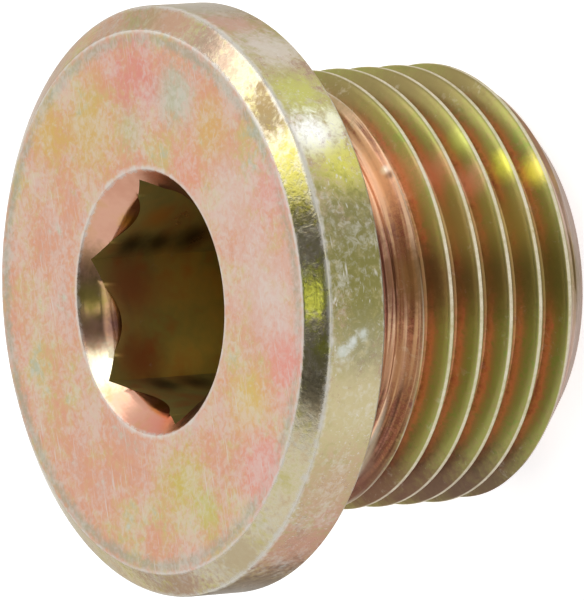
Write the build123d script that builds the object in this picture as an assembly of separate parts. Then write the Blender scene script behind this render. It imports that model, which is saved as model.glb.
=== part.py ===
from build123d import *
from math import ceil, radians, tan
import os

# Hex socket screw plug with a collar, for a port with a G 3/8 parallel pipe thread.
# It is one steel piece, turned and threaded from the bar. It stands on its thread end:
# Z is the thread's axis, the thread end lies in Z = 0 and the head face is at the top.
# A corner of the socket points along +X. All sizes are in millimetres and degrees.

# ---- Sizes ---------------------------------------------------------------------------

TOTAL_LENGTH = 15.0

# Collar, which clamps a sealing ring against the port
COLLAR_DIAMETER = 22.0
COLLAR_THICKNESS = 3.1
COLLAR_BEVEL_WIDTH = 0.92      # on the head face
COLLAR_BEVEL_HEIGHT = 0.63
COLLAR_BEVEL_ROUNDING = 0.25   # where the bevel meets the rim
COLLAR_EDGE_BREAK = 0.15       # where the rim meets the sealing face

# Thread, G 3/8 A: right-handed, Whitworth flanks
THREAD_DIAMETER = 16.5
THREADS_PER_INCH = 19
THREAD_ANGLE = 55.0            # between the flanks of one groove
THREAD_DEPTH = 0.82
THREAD_CREST_WIDTH = 0.22
THREAD_LEAD_IN = 1.65          # 45 degree bevel at the thread end
THREAD_START_HEIGHT = 0.787    # lowest crest above the thread end, over the +X axis

# Undercut, where the threading tool runs out below the collar
UNDERCUT_LENGTH = 3.0
UNDERCUT_RELIEF = 0.08         # below the root of the thread
UNDERCUT_RAMP_ANGLE = 50.0     # of its lower side, from the axis
UNDERCUT_ROUNDING = 0.4        # in the corner under the collar

# Socket for an 8 mm hexagon key
SOCKET_WIDTH = 8.0             # across flats
SOCKET_DEPTH = 7.5
SOCKET_POINT_ANGLE = 120.0     # of the drilled cone below the flats
MOUTH_DIAMETER = 9.9
MOUTH_BEVEL = 0.76             # 45 degree countersink
LEAD_IN_DEPTH = 1.3            # down to where the tapered lead-in meets the flats

# ---- Worked out from them --------------------------------------------------------------

COLLAR_RADIUS = COLLAR_DIAMETER / 2
THREAD_RADIUS = THREAD_DIAMETER / 2
THREAD_PITCH = 25.4 / THREADS_PER_INCH
ROOT_RADIUS = THREAD_RADIUS - THREAD_DEPTH
UNDERCUT_RADIUS = ROOT_RADIUS - UNDERCUT_RELIEF
SEAT_HEIGHT = TOTAL_LENGTH - COLLAR_THICKNESS
UNDERCUT_END = SEAT_HEIGHT - UNDERCUT_LENGTH
MOUTH_RADIUS = MOUTH_DIAMETER / 2
FLAT_RADIUS = SOCKET_WIDTH / 2


def turned(outline, roundings=()):
    """Solid of revolution about Z. The outline is (radius, height) points, and each
    rounding is a corner of the outline with the radius of its arc."""
    with BuildSketch(Plane.XZ) as section:
        with BuildLine():
            Polyline(*outline, close=True)
        make_face()
        for corner, radius in roundings:
            fillet(section.vertices().sort_by_distance(corner)[0], radius)
    with BuildPart() as solid:
        add(section.sketch)
        revolve(axis=Axis.Z)
    return solid.part


def make_collar():
    rim_top = (COLLAR_RADIUS, TOTAL_LENGTH - COLLAR_BEVEL_HEIGHT)
    outline = [
        (0, SEAT_HEIGHT),
        (COLLAR_RADIUS - COLLAR_EDGE_BREAK, SEAT_HEIGHT),
        (COLLAR_RADIUS, SEAT_HEIGHT + COLLAR_EDGE_BREAK),
        rim_top,
        (COLLAR_RADIUS - COLLAR_BEVEL_WIDTH, TOTAL_LENGTH),
        (0, TOTAL_LENGTH),
    ]
    return turned(outline, [(rim_top, COLLAR_BEVEL_ROUNDING)])


def make_threaded_rod():
    """The shank's core with its thread ridge, longer than the plug's thread at both ends.
    The ridge's section bites into the core, so that the two join, and it overshoots the
    thread radius, so that the crests are turned down to a true cylinder."""
    bite = THREAD_DEPTH / 8
    overshoot = THREAD_CREST_WIDTH / 4
    flank_slope = tan(radians(THREAD_ANGLE / 2))
    base_radius = ROOT_RADIUS - bite
    tip_radius = THREAD_RADIUS + overshoot
    half_base = THREAD_CREST_WIDTH / 2 + (THREAD_DEPTH + bite) * flank_slope
    half_tip = THREAD_CREST_WIDTH / 2 - overshoot * flank_slope
    start = THREAD_START_HEIGHT - 2 * THREAD_PITCH
    turns = ceil((UNDERCUT_END - start) / THREAD_PITCH) + 0.5
    helix = Helix(THREAD_PITCH, turns * THREAD_PITCH, THREAD_RADIUS, center=(0, 0, start))
    with BuildSketch(Plane.XZ) as ridge_section:
        with BuildLine():
            Polyline(
                (base_radius, start - half_base),
                (tip_radius, start - half_tip),
                (tip_radius, start + half_tip),
                (base_radius, start + half_base),
                close=True,
            )
        make_face()
    ridge = sweep(ridge_section.sketch, path=helix, is_frenet=True)
    core_bottom = start - THREAD_PITCH
    core = turned([
        (0, core_bottom),
        (ROOT_RADIUS, core_bottom),
        (ROOT_RADIUS, SEAT_HEIGHT),
        (0, SEAT_HEIGHT),
    ])
    outside = turned([
        (THREAD_RADIUS, core_bottom),
        (THREAD_RADIUS + THREAD_PITCH, core_bottom),
        (THREAD_RADIUS + THREAD_PITCH, SEAT_HEIGHT + THREAD_PITCH),
        (THREAD_RADIUS, SEAT_HEIGHT + THREAD_PITCH),
    ])
    return core + ridge - outside


def make_end_cutter():
    """What is turned off at the thread end: all below Z = 0, and the lead-in bevel."""
    margin = THREAD_PITCH
    bottom = THREAD_START_HEIGHT - 4 * THREAD_PITCH
    return turned([
        (0, bottom),
        (THREAD_RADIUS + margin, bottom),
        (THREAD_RADIUS + margin, THREAD_LEAD_IN + margin),
        (THREAD_RADIUS - THREAD_LEAD_IN, 0),
        (0, 0),
    ])


def make_undercut_cutter():
    """The ring that is turned off between the collar and the thread."""
    margin = THREAD_PITCH
    outer_radius = THREAD_RADIUS + margin
    ramp_length = (outer_radius - UNDERCUT_RADIUS) / tan(radians(UNDERCUT_RAMP_ANGLE))
    inner_corner = (UNDERCUT_RADIUS, SEAT_HEIGHT)
    outline = [
        inner_corner,
        (UNDERCUT_RADIUS, UNDERCUT_END),
        (outer_radius, UNDERCUT_END - ramp_length),
        (outer_radius, SEAT_HEIGHT),
    ]
    return turned(outline, [(inner_corner, UNDERCUT_ROUNDING)])


def make_socket():
    """The hexagon hole: its flats, the drilled cone below, the lead-in and countersink."""
    floor = TOTAL_LENGTH - SOCKET_DEPTH
    point_depth = FLAT_RADIUS / tan(radians(SOCKET_POINT_ANGLE / 2))
    with BuildPart() as flats:
        with BuildSketch(Plane.XY.offset(floor)):
            RegularPolygon(radius=FLAT_RADIUS, side_count=6, major_radius=False)
        extrude(amount=SOCKET_DEPTH)
    bore = turned([
        (0, floor - point_depth),
        (FLAT_RADIUS, floor),
        (FLAT_RADIUS, TOTAL_LENGTH - LEAD_IN_DEPTH),
        (MOUTH_RADIUS - MOUTH_BEVEL, TOTAL_LENGTH - MOUTH_BEVEL),
        (MOUTH_RADIUS, TOTAL_LENGTH),
        (0, TOTAL_LENGTH),
    ])
    return flats.part + bore


def make_plug():
    shank = make_threaded_rod() - make_end_cutter()
    return shank + make_collar() - make_undercut_cutter() - make_socket()


os.makedirs("parts", exist_ok=True)
export_step(make_plug().solid(), "parts/plug_body.step")
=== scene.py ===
import bmesh
import bpy
from math import atan2, ceil, cos, hypot, pi, radians, sin, tan
from mathutils import Matrix, Vector


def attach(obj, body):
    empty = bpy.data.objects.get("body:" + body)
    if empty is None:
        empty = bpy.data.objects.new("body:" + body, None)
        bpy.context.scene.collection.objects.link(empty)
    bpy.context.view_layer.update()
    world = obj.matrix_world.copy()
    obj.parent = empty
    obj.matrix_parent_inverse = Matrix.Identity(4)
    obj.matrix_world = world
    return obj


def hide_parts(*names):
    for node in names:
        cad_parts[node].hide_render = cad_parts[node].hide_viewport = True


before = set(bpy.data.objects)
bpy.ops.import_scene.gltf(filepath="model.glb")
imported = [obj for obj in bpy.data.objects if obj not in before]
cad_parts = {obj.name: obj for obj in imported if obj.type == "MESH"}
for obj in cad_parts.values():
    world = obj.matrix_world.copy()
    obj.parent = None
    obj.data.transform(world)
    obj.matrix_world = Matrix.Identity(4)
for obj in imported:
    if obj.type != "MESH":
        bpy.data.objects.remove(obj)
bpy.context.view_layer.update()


# ---- The plug -------------------------------------------------------------------------------
# One piece of steel, turned and threaded from the bar, with a broached hexagon socket. It is
# zinc plated and yellow passivated, so every face has its own patchy interference colours, and
# the edges are worn back to pale zinc. Its mesh is made in millimetres, standing on its thread.

LENGTH = 15.0
COLUMNS = 192                   # round the axis; a multiple of six, so socket corners fall on one

# Collar
RIM_RADIUS = 11.0
SEAT_HEIGHT = 11.9
BEVEL_WIDTH = 0.92
BEVEL_HEIGHT = 0.63
BEVEL_ROUNDING = 0.25
EDGE_BREAK = 0.15               # where the rim meets the seat
EDGE_ROUNDING = 0.12

# Thread, and the neck between it and the collar
CREST_RADIUS = 8.25
ROOT_RADIUS = 7.43
PITCH = 25.4 / 19
CREST_WIDTH = 0.22
FLANK_SLOPE = tan(radians(55 / 2))
FIRST_CREST = 0.787             # height of the lowest crest over the +X axis
END_RADIUS = 6.6                # where the 45 degree lead-in bevel meets the end face
NECK_RADIUS = 7.35
NECK_START = 8.9
NECK_END = 11.5
NECK_ROUNDING = 0.4
RAMP_SLOPE = tan(radians(50))   # of the run-out, radius over height
CREST_BLEND = 0.16              # soft_min's reach at the crests, the roots and the cut edges
ROOT_BLEND = 0.10
CUT_BLEND = 0.05
THREAD_ROWS = 24                # of faces, in one pitch

# Marks of the tool on the run-out and the neck, each with half its height
BROAD_MARK = 0.04               # two of them to a pitch
FINE_MARK = 0.03                # four of them to a pitch
BROAD_MARK_PHASE = 0.6
MARKS_RISE = (8.0, 8.6)         # heights between which they come in and fade out
MARKS_FALL = (9.6, NECK_END)

# Edge that is rubbed where the run-out cuts the ridge
RUBBED_START = 7.5
RUBBED_WIDTH = 0.07

# Socket
FLAT_RADIUS = 4.0
MOUTH_RADIUS = 4.95
MOUTH_BEVEL = 0.76
MOUTH_ROUNDING = 0.15
MOUTH_REACH = 0.2               # of the rounded edge's wire, to both sides
LEAD_IN_DEPTH = 1.3
SOCKET_DEPTH = 7.5
LEDGE_WIDTH = 0.03              # between the flats and the drilled point
POINT_SLOPE = 1 / tan(radians(60))

MERGE_DISTANCE = 0.004          # between the rows of two parts that meet
SHARP_ANGLE = radians(33)       # edges that bend more are sharp


def rounded_wire(corners, longest=0.45, arc_steps=4):
    """Points (radius, height) of a wire through (radius, height, rounding) corners, with an arc
    at each rounding and no run longer than the longest."""
    points = [Vector(corners[0][:2])]
    for before, corner, after in zip(corners, corners[1:], corners[2:]):
        here, rounding = Vector(corner[:2]), corner[2]
        if not rounding:
            points.append(here)
            continue
        back = (Vector(before[:2]) - here).normalized()
        onward = (Vector(after[:2]) - here).normalized()
        half_angle = back.angle(onward) / 2
        centre = here + (back + onward).normalized() * rounding / sin(half_angle)
        first = here + back * rounding / tan(half_angle) - centre
        last = here + onward * rounding / tan(half_angle) - centre
        sweep = first.angle_signed(last)
        for step in range(arc_steps + 1):
            points.append(centre + Matrix.Rotation(-sweep * step / arc_steps, 2) @ first)
    points.append(Vector(corners[-1][:2]))
    wire = points[:1]
    for start, end in zip(points, points[1:]):
        runs = max(1, ceil((end - start).length / longest))
        wire += [start.lerp(end, run / runs) for run in range(1, runs + 1)]
    return wire


def spin_wire(wire, rise=0.0):
    """A new mesh: a wire of (radius, height) points turned once round Z, climbing by rise."""
    bm = bmesh.new()
    verts = [bm.verts.new((radius, 0, height)) for radius, height in wire]
    edges = [bm.edges.new(pair) for pair in zip(verts, verts[1:])]
    bmesh.ops.spin(
        bm, geom=verts + edges, cent=(0, 0, 0), axis=(0, 0, 1), dvec=(0, 0, rise / COLUMNS),
        angle=2 * pi, steps=COLUMNS, use_merge=not rise)
    return bm


def place(vert, radius, height):
    """Moves a vertex to that radius and height, and keeps its direction from the axis."""
    angle = atan2(vert.co.y, vert.co.x)
    vert.co = (radius * cos(angle), radius * sin(angle), height)


def soft_min(a, b, blend):
    """The smaller of the two, with the corner between them rounded over."""
    overlap = max(blend - abs(a - b), 0) / blend
    return min(a, b) - overlap * overlap * blend / 4


def ease(value, start, end):
    """Goes smoothly from 0 to 1 while the value goes from start to end."""
    share = min(max((value - start) / (end - start), 0), 1)
    return share * share * (3 - 2 * share)


def turns_along(height, angle):
    """Turns of the thread from its first crest to that place."""
    return (height - FIRST_CREST) / PITCH - angle / (2 * pi)


def ridge_radius(height, angle):
    """Radius of the endless thread at that place."""
    turns = turns_along(height, angle)
    off_crest = abs(turns - round(turns)) * PITCH
    flank = CREST_RADIUS - (off_crest - CREST_WIDTH / 2) / FLANK_SLOPE
    ridge = soft_min(flank, CREST_RADIUS, CREST_BLEND)
    return -soft_min(-ridge, -ROOT_RADIUS, ROOT_BLEND)


def run_out_radius(height):
    """Radius of the neck and of the ramp from it into the thread."""
    return NECK_RADIUS + max(NECK_START - height, 0) * RAMP_SLOPE


def thread_radius(height, angle):
    """Radius of the thread, its lead-in, its run-out and the neck, at that place."""
    angle_along = 2 * pi * turns_along(height, angle)
    marks = BROAD_MARK * cos(2 * angle_along + BROAD_MARK_PHASE) + FINE_MARK * cos(4 * angle_along)
    marks *= ease(height, *MARKS_RISE) * (1 - ease(height, *MARKS_FALL))
    ridge = soft_min(ridge_radius(height, angle), run_out_radius(height) + marks, CUT_BLEND)
    return soft_min(ridge, END_RADIUS + height, CUT_BLEND)


def make_thread():
    """Spins one pitch of the wire up a helix, stacks copies, then shapes them as the thread."""
    low = FIRST_CREST - 2.5 * PITCH
    wire = [(1, low + PITCH * row / THREAD_ROWS) for row in range(THREAD_ROWS + 1)]
    bm = spin_wire(wire, rise=PITCH)
    strip = bm.verts[:] + bm.faces[:]
    for copy in range(1, ceil((NECK_END - low) / PITCH) + 1):
        twin = bmesh.ops.duplicate(bm, geom=strip)
        twin_verts = [item for item in twin["geom"] if isinstance(item, bmesh.types.BMVert)]
        bmesh.ops.translate(bm, verts=twin_verts, vec=(0, 0, PITCH * copy))
    for vert in bm.verts:
        height = min(max(vert.co.z, 0), NECK_END)
        place(vert, thread_radius(height, atan2(vert.co.y, vert.co.x)), height)
    return bm


def socket_wire(flat):
    """Rows of the socket down one column, where the hexagon is that far from the axis."""
    cone_top = rounded_wire([
        (MOUTH_RADIUS + MOUTH_REACH, LENGTH, 0),
        (MOUTH_RADIUS, LENGTH, MOUTH_ROUNDING),
        (MOUTH_RADIUS - MOUTH_REACH, LENGTH - MOUTH_REACH, 0),
    ])[1:-1]
    cone_end = max(flat, MOUTH_RADIUS - MOUTH_BEVEL)
    cone_bottom = Vector((cone_end, LENGTH - MOUTH_RADIUS + cone_end))
    lead_in_slope = (LEAD_IN_DEPTH - MOUTH_BEVEL) / (MOUTH_RADIUS - MOUTH_BEVEL - FLAT_RADIUS)
    lead_in_bottom = Vector((flat, cone_bottom.y - (cone_end - flat) * lead_in_slope))
    floor = LENGTH - SOCKET_DEPTH
    wall_bottom = Vector((flat, floor))
    ledge = Vector((FLAT_RADIUS - LEDGE_WIDTH, floor))
    wire = list(cone_top)
    wire += [cone_top[-1].lerp(cone_bottom, share) for share in (0.25, 0.5, 0.75, 1)]
    wire += [cone_bottom.lerp(lead_in_bottom, share) for share in (1 / 3, 2 / 3, 1)]
    wire += [lead_in_bottom.lerp(wall_bottom, share / 9) for share in range(1, 10)]
    wire += [ledge]
    wire += [Vector((radius, floor - (ledge.x - radius) * POINT_SLOPE)) for radius in (3, 2, 1, 0)]
    return wire


def make_socket():
    """Spins a plain wire, numbered by its heights, and gives each column its own rows."""
    rows = len(socket_wire(FLAT_RADIUS))
    bm = spin_wire([(1, row) for row in range(rows)])
    for vert in bm.verts:
        from_flat = (atan2(vert.co.y, vert.co.x) % (pi / 3)) - pi / 6
        place(vert, *socket_wire(FLAT_RADIUS / cos(from_flat))[round(vert.co.z)])
    return bm


def make_collar():
    """Spins the head face, the rim, the seat and the start of the neck."""
    return spin_wire(rounded_wire([
        (*socket_wire(FLAT_RADIUS)[0], 0),
        (RIM_RADIUS - BEVEL_WIDTH, LENGTH, BEVEL_ROUNDING),
        (RIM_RADIUS, LENGTH - BEVEL_HEIGHT, BEVEL_ROUNDING),
        (RIM_RADIUS, SEAT_HEIGHT + EDGE_BREAK, EDGE_ROUNDING),
        (RIM_RADIUS - EDGE_BREAK, SEAT_HEIGHT, EDGE_ROUNDING),
        (NECK_RADIUS, SEAT_HEIGHT, NECK_ROUNDING),
        (NECK_RADIUS, NECK_END, 0),
    ]))


def make_plug():
    """Joins the turned parts of the surface into one closed mesh. It marks the sharp edges, and the
    layer "rubbed" is 1 along the edge between the ridge and the run-out."""
    end_face = spin_wire(rounded_wire([(0, 0, 0), (END_RADIUS, 0, 0)], longest=1.7))
    bm = bmesh.new()
    for part in (make_collar(), make_socket(), make_thread(), end_face):
        mesh = bpy.data.meshes.new("part")
        part.to_mesh(mesh)
        bm.from_mesh(mesh)
        bpy.data.meshes.remove(mesh)
        part.free()
    bmesh.ops.remove_doubles(bm, verts=bm.verts, dist=MERGE_DISTANCE)
    bmesh.ops.recalc_face_normals(bm, faces=bm.faces)
    for face in bm.faces:
        face.smooth = True
    for edge in bm.edges:
        edge.smooth = edge.calc_face_angle(0) < SHARP_ANGLE
    rubbed = bm.verts.layers.float.new("rubbed")
    for vert in bm.verts:
        radius, height = hypot(vert.co.x, vert.co.y), vert.co.z
        if radius > END_RADIUS and RUBBED_START < height < NECK_START:
            ridge = ridge_radius(height, atan2(vert.co.y, vert.co.x))
            past_run_out = ridge - run_out_radius(height)
            vert[rubbed] = max(0, 1 - abs(past_run_out) / RUBBED_WIDTH)
    return bm


def colour(code):
    """Linear colour of a six-digit sRGB code."""
    parts = [int(code[digit:digit + 2], 16) / 255 for digit in (0, 2, 4)]
    return [p / 12.92 if p <= 0.04045 else ((p + 0.055) / 1.055) ** 2.4 for p in parts] + [1]


def node(tree, kind, values=None, **settings):
    """A new node with its settings, and with its inputs set to values or linked to sockets."""
    made = tree.nodes.new(kind)
    for setting, value in settings.items():
        setattr(made, setting, value)
    for key, value in (values or {}).items():
        if isinstance(value, bpy.types.NodeSocket):
            tree.links.new(value, made.inputs[key])
        else:
            made.inputs[key].default_value = value
    return made


def maths(tree, operation, *terms, clamp=False):
    return node(tree, "ShaderNodeMath", dict(enumerate(terms)), operation=operation,
                use_clamp=clamp).outputs[0]


def fade(tree, value, start, end, full=1.0):
    """A mask that goes from 0 to full while the value goes from start to end."""
    return node(tree, "ShaderNodeMapRange", {
        "Value": value, "From Min": start, "From Max": end, "To Max": full}).outputs[0]


def ramp(tree, stops, factor):
    """A colour ramp with (position, colour code) stops."""
    made = node(tree, "ShaderNodeValToRGB", {"Fac": factor})
    points = made.color_ramp.elements
    while len(points) < len(stops):
        points.new(0.5)
    for point, (where, code) in zip(points, stops):
        point.position, point.color = where, colour(code)
    return made.outputs[0]


MIX_FACTOR, MIX_FROM, MIX_TO = 0, 6, 7      # the inputs of a Mix node that mixes colours


def mix(tree, factor, a, b):
    inputs = {MIX_FACTOR: factor, MIX_FROM: a, MIX_TO: b}
    return node(tree, "ShaderNodeMix", inputs, data_type="RGBA").outputs[2]


def effect(name, inputs, outputs):
    """An empty node group for an effect, with its input and output sockets."""
    tree = bpy.data.node_groups.new(name, "ShaderNodeTree")
    for label, default in inputs.items():
        kind = "NodeSocketVector" if default is None else "NodeSocketFloat"
        socket = tree.interface.new_socket(name=label, in_out="INPUT", socket_type=kind)
        if default is not None:
            socket.default_value = default
    for label in outputs:
        tree.interface.new_socket(name=label, in_out="OUTPUT", socket_type="NodeSocketFloat")
    return tree, tree.nodes.new("NodeGroupInput").outputs, tree.nodes.new("NodeGroupOutput").inputs


def use(tree, group, position, values=None):
    """The outputs of an effect at that position."""
    inputs = {"Position": position, **(values or {})}
    return node(tree, "ShaderNodeGroup", inputs, node_tree=group).outputs


MM_PER_M = 1000.0


def make_lathe_place():
    """Distance from the axis and height, in millimetres."""
    tree, given, result = effect("lathe place", {"Position": None}, ["Radius", "Height"])
    parts = node(tree, "ShaderNodeSeparateXYZ", {"Vector": given["Position"]}).outputs
    square = maths(tree, "ADD", maths(tree, "MULTIPLY", parts["X"], parts["X"]),
                   maths(tree, "MULTIPLY", parts["Y"], parts["Y"]))
    radius = maths(tree, "MULTIPLY", maths(tree, "SQRT", square), MM_PER_M)
    tree.links.new(radius, result["Radius"])
    tree.links.new(maths(tree, "MULTIPLY", parts["Z"], MM_PER_M), result["Height"])
    return tree


def make_film():
    """Thickness of the passivation film: soft patches with finer mottling, from 0 to 1."""
    inputs = {"Position": None, "Patch Size": 3.0, "Mottle": 0.3, "Seed": 0.0}
    tree, given, result = effect("passivation film", inputs, ["Thickness"])
    scale = maths(tree, "DIVIDE", MM_PER_M, given["Patch Size"])
    patches = node(tree, "ShaderNodeTexNoise", {
        "Vector": given["Position"], "W": given["Seed"], "Scale": scale, "Detail": 3.0,
        "Roughness": 0.55, "Distortion": 0.3}, noise_dimensions="4D").outputs[0]
    mottle = node(tree, "ShaderNodeTexNoise", {
        "Vector": given["Position"], "W": given["Seed"],
        "Scale": maths(tree, "MULTIPLY", scale, 7.0), "Detail": 3.0,
        "Roughness": 0.6}, noise_dimensions="4D").outputs[0]
    mottle = maths(tree, "MULTIPLY", maths(tree, "SUBTRACT", mottle, 0.5), given["Mottle"])
    spread = maths(tree, "MULTIPLY_ADD", maths(tree, "SUBTRACT", patches, 0.5), 1.6, 0.5)
    tree.links.new(maths(tree, "ADD", spread, mottle), result["Thickness"])
    return tree


def make_worn_edge(lathe_place):
    """Mask of an edge rubbed bare: a ring at that radius and height, with a ragged border."""
    inputs = {"Position": None, "Radius": 11.0, "Height": 14.0, "Width": 0.2}
    tree, given, result = effect("worn edge", inputs, ["Mask"])
    here = use(tree, lathe_place, given["Position"])
    out = maths(tree, "SUBTRACT", here["Radius"], given["Radius"])
    up = maths(tree, "SUBTRACT", here["Height"], given["Height"])
    away = maths(tree, "SQRT", maths(
        tree, "ADD", maths(tree, "MULTIPLY", out, out), maths(tree, "MULTIPLY", up, up)))
    ragged = node(tree, "ShaderNodeTexNoise", {
        "Vector": given["Position"], "Scale": 2200.0, "Detail": 4.0, "Roughness": 0.7}).outputs[0]
    depth = maths(tree, "SUBTRACT", 1.0, maths(tree, "DIVIDE", away, given["Width"]))
    ragged = maths(tree, "MULTIPLY_ADD", ragged, 3.0, -1.5)
    mask = maths(tree, "ADD", depth, ragged, clamp=True)
    tree.links.new(mask, result["Mask"])
    return tree


def make_stain_or_painted_light():
    """Mask of one spot, with a ragged border, round a place in millimetres. The spots are
    discoloured and rubbed places, and some are painted highlights and painted shade.
    """
    inputs = {"Position": None, "Place": None, "Size": 2.0, "Film": 0.5, "Ragged": 1.0}
    tree, given, result = effect("stain_or_painted_light", inputs, ["Mask"])
    there = node(tree, "ShaderNodeVectorMath", {
        0: given["Position"], 1: (MM_PER_M,) * 3}, operation="MULTIPLY").outputs[0]
    away = node(tree, "ShaderNodeVectorMath", {
        0: there, 1: given["Place"]}, operation="DISTANCE").outputs["Value"]
    depth = maths(tree, "SUBTRACT", 1.0, maths(tree, "DIVIDE", away, given["Size"]))
    flecks = node(tree, "ShaderNodeTexNoise", {
        "Vector": given["Position"], "Scale": 3000.0, "Detail": 3.0, "Roughness": 0.7,
        "Distortion": 0.5}).outputs[0]
    ragged = maths(tree, "MULTIPLY", maths(tree, "SUBTRACT", flecks, 0.5), 2.4)
    ragged = maths(tree, "MULTIPLY_ADD", given["Film"], 0.9, ragged)
    ragged = maths(tree, "MULTIPLY", maths(tree, "SUBTRACT", ragged, 0.45), given["Ragged"])
    mask = node(tree, "ShaderNodeMapRange", {
        "Value": maths(tree, "ADD", depth, ragged), "From Min": -0.15, "From Max": 0.9,
        "To Max": 0.85}, interpolation_type="SMOOTHSTEP")
    tree.links.new(mask.outputs[0], result["Mask"])
    return tree


def make_bloom():
    """Mask of the pale haze of zinc salts: fine flecks that lie in drifts."""
    inputs = {"Position": None, "Amount": 0.5, "Seed": 0.0}
    tree, given, result = effect("pale bloom", inputs, ["Mask"])
    drift = node(tree, "ShaderNodeTexNoise", {
        "Vector": given["Position"], "W": given["Seed"], "Scale": 520.0, "Detail": 3.0,
        "Distortion": 0.5}, noise_dimensions="4D").outputs[0]
    flecks = node(tree, "ShaderNodeTexNoise", {
        "Vector": given["Position"], "W": given["Seed"], "Scale": 3600.0, "Detail": 3.0,
        "Roughness": 0.65, "Distortion": 0.8}, noise_dimensions="4D").outputs[0]
    level = maths(tree, "MULTIPLY_ADD", drift, 0.8, flecks)
    cut = maths(tree, "MULTIPLY_ADD", given["Amount"], -0.35, 1.12)
    mask = maths(tree, "MULTIPLY", maths(tree, "SUBTRACT", level, cut), 4.0, clamp=True)
    tree.links.new(mask, result["Mask"])
    return tree


def make_scratches():
    """Mask of fine scratches and scuffs that cross each other, more of them where it is worn."""
    inputs = {"Position": None, "Length": 1.3, "Amount": 0.3, "Seed": 0.0}
    tree, given, result = effect("fine scratches", inputs, ["Mask"])
    worn = node(tree, "ShaderNodeTexNoise", {
        "Vector": given["Position"], "W": given["Seed"], "Scale": 260.0,
        "Detail": 2.0}, noise_dimensions="4D").outputs[0]
    total = None
    for turn in (0.3, 1.25, 2.3):
        turned = node(tree, "ShaderNodeMapping", {
            "Vector": given["Position"], "Rotation": (turn * 0.4, 0.5 - turn * 0.3, turn)})
        turned.inputs["Scale"].default_value = (1.0, 22.0, 9.0)
        streak = node(tree, "ShaderNodeTexNoise", {
            "Vector": turned.outputs[0], "W": maths(tree, "ADD", given["Seed"], turn),
            "Scale": maths(tree, "DIVIDE", MM_PER_M, given["Length"]), "Detail": 1.0,
            "Distortion": 0.15}, noise_dimensions="4D").outputs[0]
        total = maths(tree, "MAXIMUM", total, streak) if total else streak
    level = maths(tree, "MULTIPLY_ADD", worn, 0.35, total)
    cut = maths(tree, "SUBTRACT", 1.06, maths(tree, "MULTIPLY", given["Amount"], 0.3))
    mask = maths(tree, "MULTIPLY", maths(tree, "SUBTRACT", level, cut), 8.0, clamp=True)
    tree.links.new(mask, result["Mask"])
    return tree


def make_turned_lines(lathe_place):
    """Height of the fine lines that the turning tool leaves round the axis."""
    tree, given, result = effect("turned lines", {"Position": None, "Pitch": 0.2}, ["Height"])
    here = use(tree, lathe_place, given["Position"])
    parts = node(tree, "ShaderNodeSeparateXYZ", {"Vector": given["Position"]}).outputs
    along = maths(tree, "MULTIPLY_ADD", here["Height"], 6.0, here["Radius"])
    across = maths(tree, "DIVIDE", 700.0, here["Radius"])
    lines = node(tree, "ShaderNodeCombineXYZ", {
        "X": maths(tree, "MULTIPLY", parts["X"], across),
        "Y": maths(tree, "MULTIPLY", parts["Y"], across),
        "Z": maths(tree, "DIVIDE", along, given["Pitch"])}).outputs[0]
    noise = node(tree, "ShaderNodeTexNoise", {
        "Vector": lines, "Scale": 1.0, "Detail": 2.0, "Roughness": 0.7}).outputs[0]
    tree.links.new(noise, result["Height"])
    return tree


LATHE_PLACE = make_lathe_place()
FILM = make_film()
WORN_EDGE = make_worn_edge(LATHE_PLACE)
STAIN_OR_PAINTED_LIGHT = make_stain_or_painted_light()
BLOOM = make_bloom()
SCRATCHES = make_scratches()
TURNED_LINES = make_turned_lines(LATHE_PLACE)
WORN_EDGES = {                  # radius, height, width
    "mouth": (4.99, 14.98, 0.16),
    "face": (10.08, 15.0, 0.12),
    "rim front": (10.96, 14.38, 0.17),
    "rim back": (10.95, 11.95, 0.15),
}


def around(turn, radius, height):
    """A place on the plug, in millimetres. The turn is in degrees, clockwise from the side that
    the camera looks at, as one sees the head."""
    angle = radians(-97.6 - turn)
    return (radius * cos(angle), radius * sin(angle), height)


DEEPEST = 7.3                   # radius where the tones by radius start
FILM_SHIFT = 0.2                # how far the film moves them
ZINC = 0.8                      # how much of the worn colour shows where the film is rubbed off


def tones_by_radius(tree, base, film, radius, tones):
    """Colours that follow the thread's depth, over the base."""
    depth = maths(tree, "MULTIPLY_ADD", film, FILM_SHIFT, radius)
    depth = maths(tree, "SUBTRACT", depth, DEEPEST + FILM_SHIFT / 2)
    stops = [(where - DEEPEST, code) for where, code in tones]
    return mix(tree, 0.68, base, ramp(tree, stops, depth))


def lead_in_tones(tree, base, here, turned):
    """Paler, greyer colours on the lead-in bevel and just above it."""
    outside = maths(tree, "SUBTRACT", here["Radius"], here["Height"])
    outside = maths(tree, "SUBTRACT", outside, END_RADIUS - 0.06)
    bevel = maths(tree, "MULTIPLY", outside, 30.0, clamp=True)
    mask = maths(tree, "MAXIMUM", bevel, fade(tree, here["Height"], 1.6, 1.35, full=0.7))
    return mix(tree, mask, base, ramp(tree, [(0.3, "b09c92"), (0.6, "d0beb6")], turned))


def painted_line_light(tree, base, turned, amount):
    """Painted shade in the turned lines' grooves and a painted highlight on their ridges."""
    for start, end, code in ((0.48, 0.38, "4a2c1c"), (0.52, 0.60, "e4c09c")):
        mask = maths(tree, "MULTIPLY", fade(tree, turned, start, end), amount)
        base = mix(tree, mask, base, colour(code))
    return base


def worn_crests(tree, film, radius):
    """Mask of the rubbed crests of the thread, patchy like the film."""
    top = maths(tree, "MULTIPLY", maths(tree, "SUBTRACT", radius, 8.226), 60.0, clamp=True)
    return maths(tree, "MULTIPLY", top, maths(tree, "MULTIPLY_ADD", film, 0.9, 0.45))


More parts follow.
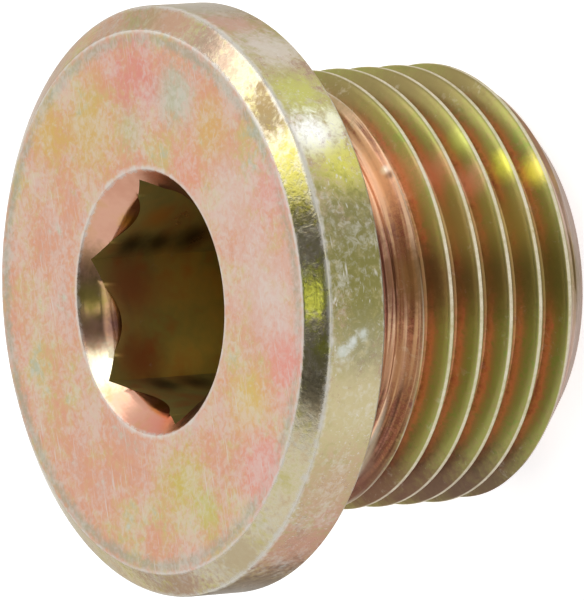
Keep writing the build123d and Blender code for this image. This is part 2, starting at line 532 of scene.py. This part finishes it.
def passivated(name, tones, patch=3.0, mottle=0.5, seed=0.0, rough=0.3, scratched=0.3, bloom=0.4,
               lines=1.2, painted_line_contrast=0.0, edges=(), band=None, stains_and_painted_light=(), ragged=1.0, by_radius=None,
               neck=None, bump=0.25, metal=1.0, worn_colour="c9c6bf"):
    """The passivated finish of one face of the plug. tones are the film's colours from thin to
    thick. by_radius gives (radius, colour) tones that follow the thread's depth, neck the tones
    above it, band one (radius, height, width, colour) ring, and the spots (turn, radius, height,
    size, colour) are discoloured and rubbed places, with painted highlights and painted shade
    among them. lined sets the painted shade and painted highlight along the turned lines."""
    material = bpy.data.materials.new(name)
    material.use_nodes = True
    tree = material.node_tree
    tree.nodes.clear()
    position = node(tree, "ShaderNodeTexCoord").outputs["Object"]
    here = use(tree, LATHE_PLACE, position)
    film = use(tree, FILM, position, {"Patch Size": patch, "Mottle": mottle, "Seed": seed})[0]
    turned = use(tree, TURNED_LINES, position, {"Pitch": lines})[0]

    base = ramp(tree, tones, film)
    if by_radius:
        base = tones_by_radius(tree, base, film, here["Radius"], by_radius)
    if neck:
        base = lead_in_tones(tree, base, here, turned)
        rise = maths(tree, "MULTIPLY_ADD", film, 0.3, here["Height"])
        above = fade(tree, rise, 8.2, 8.5)
        base = mix(tree, above, base, ramp(tree, neck, film))
        # painted shade and painted highlight along the turned lines on the neck
        base = painted_line_light(tree, base, turned, maths(tree, "MULTIPLY", above, painted_line_contrast))
    elif painted_line_contrast:
        # painted shade and painted highlight along the turned lines
        base = painted_line_light(tree, base, turned, painted_line_contrast)
    if band:
        radius, height, width, code = band
        ring = {"Radius": radius, "Height": height, "Width": width}
        mask = maths(tree, "MULTIPLY", use(tree, WORN_EDGE, position, ring)[0], 0.7)
        base = mix(tree, mask, base, colour(code))
    # Spots of discolouring and rubbing, and spots of painted highlight and painted shade.
    for turn, radius, height, size, code in stains_and_painted_light:
        spot = {"Place": around(turn, radius, height), "Size": size, "Film": film, "Ragged": ragged}
        base = mix(tree, use(tree, STAIN_OR_PAINTED_LIGHT, position, spot)[0], base, colour(code))

    haze = use(tree, BLOOM, position, {"Amount": bloom, "Seed": seed})[0]
    scratches = use(tree, SCRATCHES, position, {"Amount": scratched, "Seed": seed})[0]
    rubbed = [maths(tree, "MULTIPLY", haze, 0.55), maths(tree, "MULTIPLY", scratches, 0.9)]
    if neck:
        marked = node(tree, "ShaderNodeAttribute", attribute_name="rubbed").outputs["Fac"]
        rubbed.append(maths(tree, "MULTIPLY", marked, 0.8))
    if by_radius:
        rubbed.append(worn_crests(tree, film, here["Radius"]))
    for edge in edges:
        radius, height, width = WORN_EDGES[edge]
        ring = {"Radius": radius, "Height": height, "Width": width}
        rubbed.append(use(tree, WORN_EDGE, position, ring)[0])
    worn = rubbed[0]
    for mask in rubbed[1:]:
        worn = maths(tree, "MAXIMUM", worn, mask)
    worn = maths(tree, "MULTIPLY", worn, ZINC)
    base = mix(tree, worn, base, colour(worn_colour))

    grain = node(tree, "ShaderNodeTexNoise", {
        "Vector": position, "Scale": 5000.0, "Detail": 2.0}).outputs[0]
    roughness = maths(tree, "MULTIPLY_ADD", film, 0.12, rough - 0.06)
    roughness = maths(tree, "MULTIPLY_ADD", worn, 0.2, roughness)
    relief = maths(tree, "MULTIPLY_ADD", turned, 0.5, maths(tree, "MULTIPLY", grain, 0.25))
    relief = maths(tree, "MULTIPLY_ADD", worn, -0.4, relief)
    normal = node(tree, "ShaderNodeBump", {
        "Height": relief, "Strength": bump, "Distance": 0.00003}).outputs[0]
    shader = node(tree, "ShaderNodeBsdfPrincipled", {
        "Base Color": base, "Roughness": roughness, "Metallic": metal, "Normal": normal,
        "Specular Tint": (0.56, 0.52, 0.47, 1)})
    node(tree, "ShaderNodeOutputMaterial", {"Surface": shader.outputs[0]})
    return material


FACE, BEVEL, RIM, SEAT, THREAD, END, MOUTH, SOCKET = range(8)
finishes = [
    passivated("passivated_face", [
        (0.10, "bcbca2"), (0.28, "d2b880"), (0.42, "d8ae88"), (0.6, "dca488"), (0.78, "d8aa94"),
        (0.92, "c8c0a6")], patch=2.2, mottle=0.8, rough=0.42, scratched=0.75, bloom=0.87,
        painted_line_contrast=0.03, lines=0.2, metal=0.9, edges=["mouth", "face"], ragged=0.7,
        worn_colour="e0dcd5", band=(9.78, 15.0, 0.42, "a8aa96"), stains_and_painted_light=[
            (-116, 7.4, 15, 2.4, "d4b46c"), (-133, 8.9, 15, 1.5, "d6b468"),
            (-94, 6.6, 15, 1.2, "c0bc88"), (-71, 7.9, 15, 1.4, "b8bca0"),
            (-91, 8.4, 15, 2.2, "dc9488"), (-54, 5.7, 15, 1.8, "e0a088"),
            (-25, 9.0, 15, 2.0, "e0a094"), (78, 7.0, 15, 1.9, "ccbc64"), (70, 8.4, 15, 1.2, "c8c070"),
            (-52, 7.9, 15, 1.5, "d8b070"), (32, 7.3, 15, 1.8, "dabc70"),
            (16, 9.0, 15, 1.8, "e49c90"), (42, 9.2, 15, 1.9, "e29c8e"),
            (-2, 7.6, 15, 2.8, "dcbcae"), (-30, 7.2, 15, 2.2, "dcb8a8")]),
    passivated("passivated_bevel", [
        (0.2, "bcb27c"), (0.5, "cabfa0"), (0.8, "c2ae8c")], patch=1.8, rough=0.17, seed=2.0,
        mottle=1.3, scratched=0.4, bloom=0.6, edges=["face", "rim front"], bump=0.6, stains_and_painted_light=[
            (1, 10.5, 14.7, 1.4, "d6d84c"), (11, 10.8, 14.5, 0.6, "c0c04c"),
            (-38, 10.4, 14.8, 1.3, "6c5c40"), (-42, 10.6, 14.6, 1.1, "84704c"),
            (-22, 10.5, 14.7, 2.0, "b8b04c"), (-62, 10.5, 14.7, 2.0, "ac9280"),
            (-78, 10.5, 14.7, 2.4, "c49c84"), (-90, 10.5, 14.7, 1.6, "a89c74"),
            (-102, 10.5, 14.7, 3.0, "cca48e"), (-128, 10.5, 14.7, 3.6, "c8a490"),
            (20, 10.5, 14.7, 0.9, "94886c"), (66, 10.5, 14.7, 2.6, "b4a484"),
            (90, 10.5, 14.7, 2.8, "a88c78")]),
    passivated("passivated_rim", [
        (0.15, "9c8672"), (0.4, "a69a74"), (0.6, "9c9466"), (0.85, "aa9078")],
        patch=1.8, mottle=1.2, rough=0.3, seed=5.0, scratched=0.7, bloom=0.6, ragged=0.7,
        edges=["rim front", "rim back"], stains_and_painted_light=[
            (-104, 11, 13, 4.5, "b49c94"), (-78, 11, 12.8, 2.6, "b4aea4"),
            (-66, 11, 13.5, 1.6, "bc988c"), (-54, 11, 13, 1.6, "c0b6ac"),
            # The near-white spots at -31 and -34 are painted highlights, a glare over a pale worn
            # patch.
            (-41, 11, 13.2, 1.5, "b0b064"), (-31, 11, 13.4, 1.3, "f4f6f4"),
            (-34, 11, 12.4, 0.8, "dcdcc0"), (-24, 11, 12.8, 1.6, "c4c058"),
            # Darker olive at the front, from -10 to 13: film colour, darkened partly as painted shade.
            (-10, 11, 13.2, 3.0, "6c6844"), (2, 11, 13.0, 3.0, "706c3c"),
            (13, 11, 12.9, 1.8, "7c7a5c"),
            # Paler beige from 24 to 60: film colour, lightened partly as painted light.
            (24, 11, 13, 3.2, "b4a884"), (42, 11, 13, 2.4, "ac9278"), (60, 11, 13, 3.0, "b08678"),
            # Dark brown at 76 and 90, towards the lower edge: painted shade over brown film.
            (76, 11, 13, 3.0, "786456"), (90, 11, 13, 4.5, "54483c"),
            (12, 11, 13.8, 0.35, "b4b8b0"), (10.5, 11, 13.4, 0.3, "bcc0bc"),
            (9, 11, 13.0, 0.3, "b4b8b0")]),
    passivated("passivated_seat", [
        (0.2, "dcd6bc"), (0.5, "e0ccb4"), (0.8, "d4d4b8")], patch=2.5, rough=0.25, seed=7.0),
    passivated("passivated_thread", [
        (0.2, "a88064"), (0.4, "a09c58"), (0.6, "b88c6c"), (0.8, "909c54")], patch=1.3,
        mottle=1.7, rough=0.36, seed=9.0, scratched=0.3, bloom=0.2, worn_colour="d8d0bc",
        metal=0.85, painted_line_contrast=0.75, lines=1.0, bump=0.4, ragged=0.25,
        by_radius=[(7.4, "8c5438"), (7.5, "bc7854"), (7.6, "d89068"), (7.74, "b0905c"), (7.9, "989854"),
                   (8.25, "90984e")],
        neck=[(0.2, "b07c64"), (0.45, "8c584a"), (0.6, "a47858"), (0.85, "845a4c")], stains_and_painted_light=[
            # The pale pink spot on the neck at -31 is a painted highlight over pink film.
            (-31, 7.5, 9.2, 2.0, "f4bc94"), (23, 7.5, 9.1, 1.4, "b88c6c"),
            # The dark red-brown spot on the neck at -2, under the collar, is painted shade over mauve
            # film.
            (-2, 7.5, 9.4, 2.2, "623630"), (60, 7.5, 9.6, 1.6, "bc9c80"), (-2, 7.9, 8.4, 1.5, "80603c"),
            (0, 8, 6.9, 2.0, "846844"), (0, 8, 4.6, 2.2, "847044"), (0, 8, 2.0, 2.4, "847844"),
            (72, 8, 7.4, 3.6, "785044"), (74, 8, 4.6, 3.6, "705044"), (76, 8, 2.0, 3.6, "685044"),
            (-68, 8, 7.4, 3.0, "8c7c50"), (-68, 8, 4.6, 3.0, "8c7c50"), (-68, 8, 2.0, 3.0, "8c7c50"),
            # Glints on the lower ridges at -29, -31 and -40: painted highlights.
            (-29, 8, 2.0, 0.8, "fff078"), (-31, 8, 3.3, 0.8, "f4f068"), (-40, 8, 4.7, 0.8, "c0c468"),
            # Pink and orange glints on the ridges at -28 and -32: painted highlights.
            (-28, 7.9, 5.2, 0.9, "d8a488"), (-32, 7.8, 6.6, 1.2, "d09878"),
            (-16, 8, 6.2, 1.8, "ac9460"), (-16, 8, 3.6, 1.8, "ac985c"),
            # A nick on the top ridge in colour only: a pale spot of bare metal and painted highlight,
            # and a dark spot of painted shade.
            (-33, 7.8, 8.5, 0.25, "f4ecd8"), (-31, 7.8, 8.4, 0.25, "3c2818")]),
    passivated("passivated_end", [
        (0.2, "a8948a"), (0.5, "b4a49c"), (0.8, "9c8a78")], patch=1.5, rough=0.35, seed=10.0,
        scratched=0.6),
    passivated("passivated_mouth", [
        (0.2, "c89c70"), (0.5, "d0a088"), (0.8, "c8947c")], patch=2.2, rough=0.2, seed=13.0,
        scratched=0.2, bloom=0.1, edges=["mouth"], bump=0.2, ragged=0.4, stains_and_painted_light=[
            (184, 4.6, 14.6, 1.1, "b4a44c"), (201, 4.6, 14.6, 1.0, "8c6c4c"),
            # The near-white spot at 150 is a painted highlight on the cone.
            (150, 4.6, 14.6, 1.3, "f0f0cc"), (95, 4.6, 14.6, 1.8, "d48c7c"),
            (230, 4.1, 13.9, 0.5, "c89c48"), (170, 4.1, 13.9, 0.8, "6a4a4c"),
            (110, 4.1, 13.9, 0.5, "b8904a")]),
    passivated("passivated_socket", [
        (0.2, "c08c50"), (0.45, "bca660"), (0.6, "aca260"), (0.85, "bc804c")], patch=2.4,
        mottle=0.3, rough=0.3, seed=12.0, scratched=0.1, bloom=0.0, bump=0.2, metal=0.75,
        ragged=0.12, stains_and_painted_light=[
            (190, 4.1, 13.1, 1.6, "b06c48"), (150, 4.2, 13.1, 1.4, "a8603c"),
            # The near-black spots stacked down at 212 to 214 and at 133 are painted shade along two
            # corners of the socket.
            (212, 4.4, 13.2, 0.9, "2c2418"), (212, 4.4, 12.0, 0.9, "2c2418"),
            (214, 4.4, 10.6, 1.1, "2c2418"), (133, 4.5, 12.6, 0.9, "342c20"),
            (133, 4.5, 11.2, 1.0, "342c20"), (232, 4.1, 12.7, 0.9, "d89848")]),
]


def finish_of(face):
    """Index of the finish of that face, from where its centre lies."""
    centre = face.calc_center_median()
    radius, height = hypot(centre.x, centre.y), centre.z
    if radius < MOUTH_RADIUS and height > 1:
        return MOUTH if height > LENGTH - LEAD_IN_DEPTH and face.normal.z > 0.1 else SOCKET
    if height > LENGTH - 0.02:
        return FACE
    if height > LENGTH - BEVEL_HEIGHT:
        return BEVEL
    if radius > RIM_RADIUS - EDGE_BREAK:
        return RIM
    if height > NECK_END:
        return SEAT
    return THREAD if height > 0 else END


bm = make_plug()
for face in bm.faces:
    face.material_index = finish_of(face)
bmesh.ops.scale(bm, vec=(1 / MM_PER_M,) * 3, verts=bm.verts)
mesh = bpy.data.meshes.new("hex_socket_plug")
bm.to_mesh(mesh)
bm.free()
for finish in finishes:
    mesh.materials.append(finish)
plug = bpy.data.objects.new("hex_socket_plug", mesh)
bpy.context.scene.collection.objects.link(plug)
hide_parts("plug_body")
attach(plug, "root")


# ---- The floor ------------------------------------------------------------------------------
# A plain white sheet that the plug stands on, wide enough to fill every view. It looks white to
# the camera and in the metal, and keeps the plug's soft shadow.

FLOOR_RADIUS = 2.0              # in metres
PAPER_GLOW = 0.6

bm = bmesh.new()
bmesh.ops.create_circle(bm, cap_ends=True, segments=64, radius=FLOOR_RADIUS)
mesh = bpy.data.meshes.new("floor")
bm.to_mesh(mesh)
bm.free()
floor = bpy.data.objects.new("floor", mesh)
bpy.context.scene.collection.objects.link(floor)
paper = bpy.data.materials.new("white_paper")
paper.use_nodes = True
tree = paper.node_tree
tree.nodes.clear()
rays = node(tree, "ShaderNodeLightPath").outputs
seen = maths(tree, "MAXIMUM", rays["Is Camera Ray"], rays["Is Glossy Ray"])
seen = maths(tree, "MAXIMUM", seen, rays["Is Transmission Ray"])
sheet = node(tree, "ShaderNodeBsdfPrincipled", {
    "Base Color": (0.8, 0.8, 0.8, 1), "Roughness": 0.9,
    "Emission Color": (1, 1, 1, 1), "Emission Strength": maths(tree, "MULTIPLY", seen, PAPER_GLOW)})
node(tree, "ShaderNodeOutputMaterial", {"Surface": sheet.outputs[0]})
mesh.materials.append(paper)


# ---- Light ----------------------------------------------------------------------------------
# A pale studio with a dim patch overhead, which darkens the smooth bevel, and a softbox and two
# small lamps, which draw the highlights on it.

TOWARD = Vector((-0.1324, -0.9912, 0))      # level, from the plug's axis to the camera
ACROSS = Vector((0.9912, -0.1324, 0))       # level, upwards in the picture
DIM = (TOWARD * 0.33 + Vector((0, 0, 0.944))).normalized()      # towards the dim patch
DIM_START = 0.80                # cosines of the angles from its middle where it starts and ends
DIM_END = 0.93
DIM_LEVEL = 0.13
LAMP_DISTANCE = 0.3             # in metres, like the lamps' sizes
LAMPS_HEIGHT = 0.01             # of the place that they face

world = bpy.data.worlds.new("studio")
bpy.context.scene.world = world
world.use_nodes = True
tree = world.node_tree
tree.nodes.clear()
nearness = node(tree, "ShaderNodeVectorMath", {
    0: node(tree, "ShaderNodeTexCoord").outputs["Generated"], 1: DIM},
    operation="DOT_PRODUCT").outputs["Value"]
dimmed = node(tree, "ShaderNodeMapRange", {
    "Value": nearness, "From Min": DIM_START, "From Max": DIM_END, "To Min": 1.0,
    "To Max": DIM_LEVEL}, interpolation_type="SMOOTHSTEP").outputs[0]
camera_ray = node(tree, "ShaderNodeLightPath").outputs["Is Camera Ray"]
sky = node(tree, "ShaderNodeBackground", {
    "Color": (1, 1, 1, 1), "Strength": maths(tree, "MAXIMUM", dimmed, camera_ray)})
node(tree, "ShaderNodeOutputWorld", {"Surface": sky.outputs[0]})


def square_lamp(name, toward, across, up, size, brightness):
    """An area lamp in the direction with those parts, which faces the plug."""
    direction = (TOWARD * toward + ACROSS * across + Vector((0, 0, up))).normalized()
    lamp = bpy.data.lights.new(name, "AREA")
    lamp.shape = "RECTANGLE"
    lamp.size, lamp.size_y = size
    lamp.energy = brightness * pi * size[0] * size[1]
    holder = bpy.data.objects.new(name, lamp)
    holder.location = direction * LAMP_DISTANCE + Vector((0, 0, LAMPS_HEIGHT))
    holder.rotation_euler = direction.to_track_quat("Z", "Y").to_euler()
    bpy.context.scene.collection.objects.link(holder)


square_lamp("softbox", -0.03, 0.64, 0.766, (0.26, 0.22), 1.4)
square_lamp("small_lamp_overhead", 0.222, -0.035, 0.974, (0.03, 0.03), 1.6)
square_lamp("small_lamp_front", 0.558, 0.02, 0.828, (0.03, 0.03), 1.6)


# ---- Camera ---------------------------------------------------------------------------------
# A long lens from above and to one side, rolled so that the plug's head is on the left.

RIGHT = Vector((-0.1443, -0.5432, -0.8271))
UP = Vector((0.9834, -0.1715, -0.0590))
BACK = Vector((-0.1098, -0.8219, 0.5589))
EYE_RIGHT = 0.47928             # from the head's centre, in collar radii
EYE_UP = 0.00861
EYE_BACK = 43.988

camera = bpy.data.objects.new("camera", bpy.data.cameras.new("camera"))
bpy.context.scene.collection.objects.link(camera)
bpy.context.scene.camera = camera
camera.data.lens = 783.24
camera.data.sensor_width = 36.0
camera.data.clip_end = 10.0
head_centre = Vector((0, 0, LENGTH / MM_PER_M))
offset = RIGHT * EYE_RIGHT + UP * EYE_UP + BACK * EYE_BACK
eye = head_centre + offset * RIM_RADIUS / MM_PER_M
camera.matrix_world = Matrix.Translation(eye) @ Matrix((RIGHT, UP, BACK)).transposed().to_4x4()
bpy.context.scene.view_settings.view_transform = "Standard"
